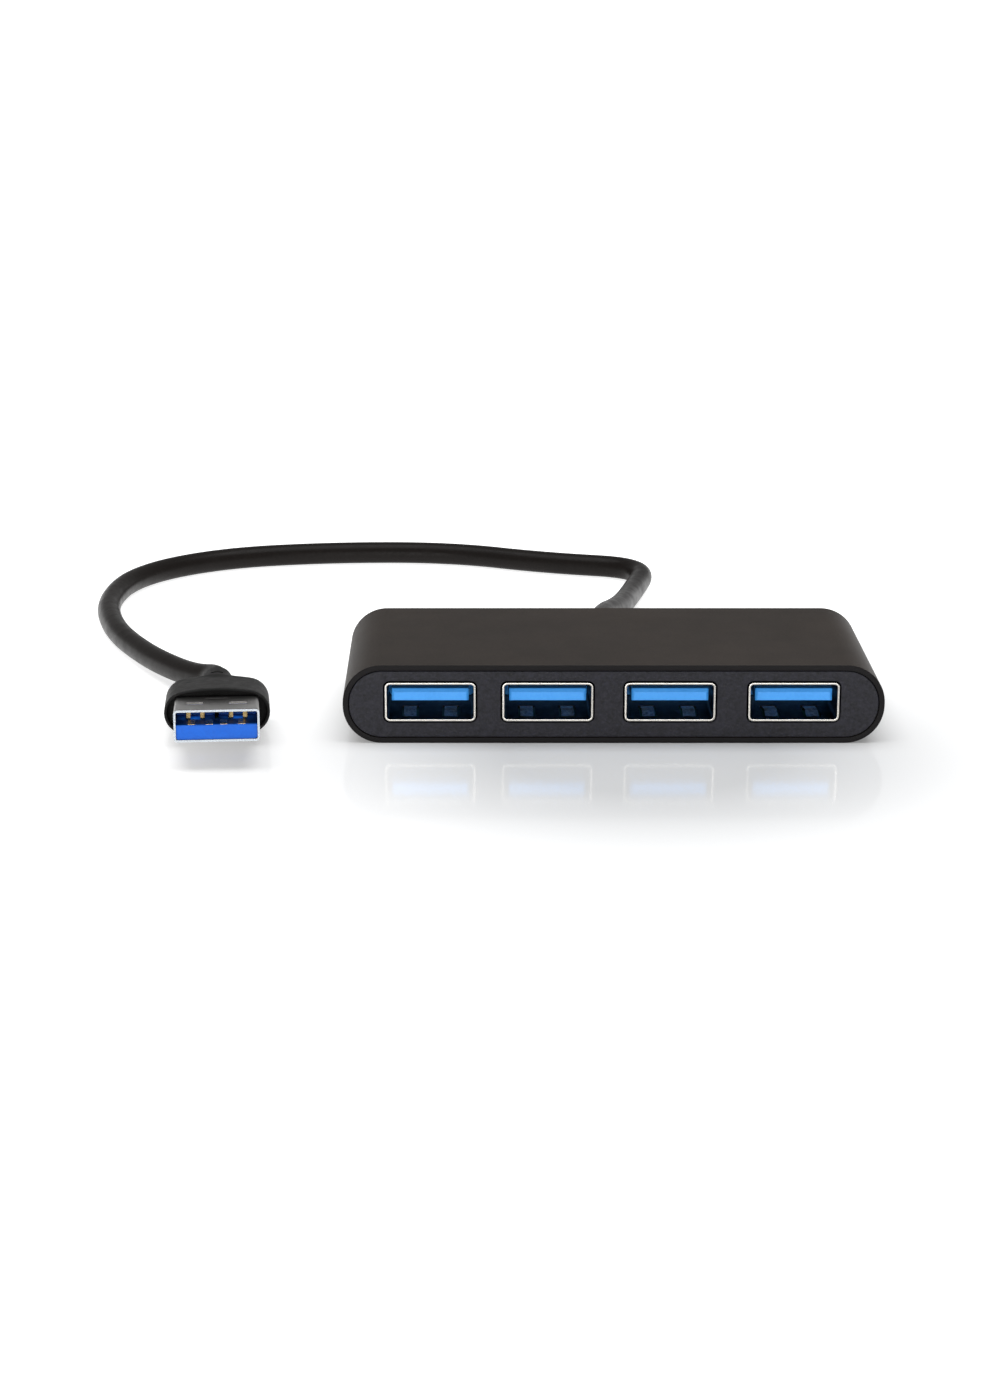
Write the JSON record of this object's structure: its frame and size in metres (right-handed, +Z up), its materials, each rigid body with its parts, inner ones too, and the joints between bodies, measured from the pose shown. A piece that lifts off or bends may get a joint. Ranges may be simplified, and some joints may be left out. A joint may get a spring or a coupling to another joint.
{
  "type": "usb hub",
  "caption": "Flat usb hub with a row of blue-tongued receptacles in its front and a short captive cord that ends in a blue plug.",
  "frame": {"origin": "on the surface that the hub stands on, under the middle of the housing", "axes": "+X along the row of ports to the right seen from the ports, +Y from the ports back to the cord's exit, +Z up"},
  "size_m": [0.1224, 0.131, 0.0116],
  "materials": {
    "sleeve_dark": "dark anodised, fine satin",
    "plate_dark": "fine sparked texture",
    "port_metal": "bright nickel plate",
    "port_blue": "smooth moulded",
    "contact_gold": "gold plate",
    "board_green": "solder mask over glass fibre",
    "chip_black": "moulded epoxy",
    "can_metal": "bare satin",
    "crystal_metal": "fine brushed lid",
    "ceramic_tan": "fired ceramic",
    "ferrite_grey": "pressed ferrite",
    "fuse_green": "moulded polymer",
    "base_black": "moulded",
    "solder_grey": "reflowed solder",
    "leg_tin": "tin plate",
    "cord_black": "soft satin jacket",
    "gland_black": "moulded, fine matt",
    "overmould_black": "moulded, fine satin",
    "plug_metal": "nickel plate",
    "lead_red": "smooth insulation",
    "lead_black": "smooth insulation",
    "lead_white": "smooth insulation",
    "lead_green": "smooth insulation",
    "foil_silver": "wrapped foil"
  },
  "bodies": {
    "root": {"housing_sleeve": "sleeve_dark", "front_plate": "plate_dark", "rear_plate": "plate_dark", "circuit_board": "board_green", "hub_controller_chip": "chip_black", "crystal_oscillator": "crystal_metal", "resettable_fuse": "fuse_green", "ceramic_capacitors": "ceramic_tan", "resistors": "chip_black", "power_inductor": "ferrite_grey", "voltage_regulator": "chip_black", "regulator_legs": "leg_tin", "bulk_capacitor_bases": "base_black", "bulk_capacitor_cans": "can_metal", "cord_gland": "gland_black", "cord_inner_end": "cord_black", "white_data_lead": "lead_white", "receive_pair": "foil_silver", "black_ground_lead": "lead_black", "red_power_lead": "lead_red", "transmit_pair": "foil_silver", "green_data_lead": "lead_green", "solder_joints": "solder_grey", "plug_shell": "plug_metal", "plug_front_contacts": "contact_gold", "plug_rear_contacts": "contact_gold", "plug_insulator": "port_blue", "plug_overmould": "overmould_black", "cord": "cord_black", "port_1_shell": "port_metal", "port_1_tongue": "port_blue", "port_1_contacts": "contact_gold", "port_2_shell": "port_metal", "port_2_tongue": "port_blue", "port_2_contacts": "contact_gold", "port_3_shell": "port_metal", "port_3_tongue": "port_blue", "port_3_contacts": "contact_gold", "port_4_shell": "port_metal", "port_4_tongue": "port_blue", "port_4_contacts": "contact_gold"}
  },
  "joints": []
}
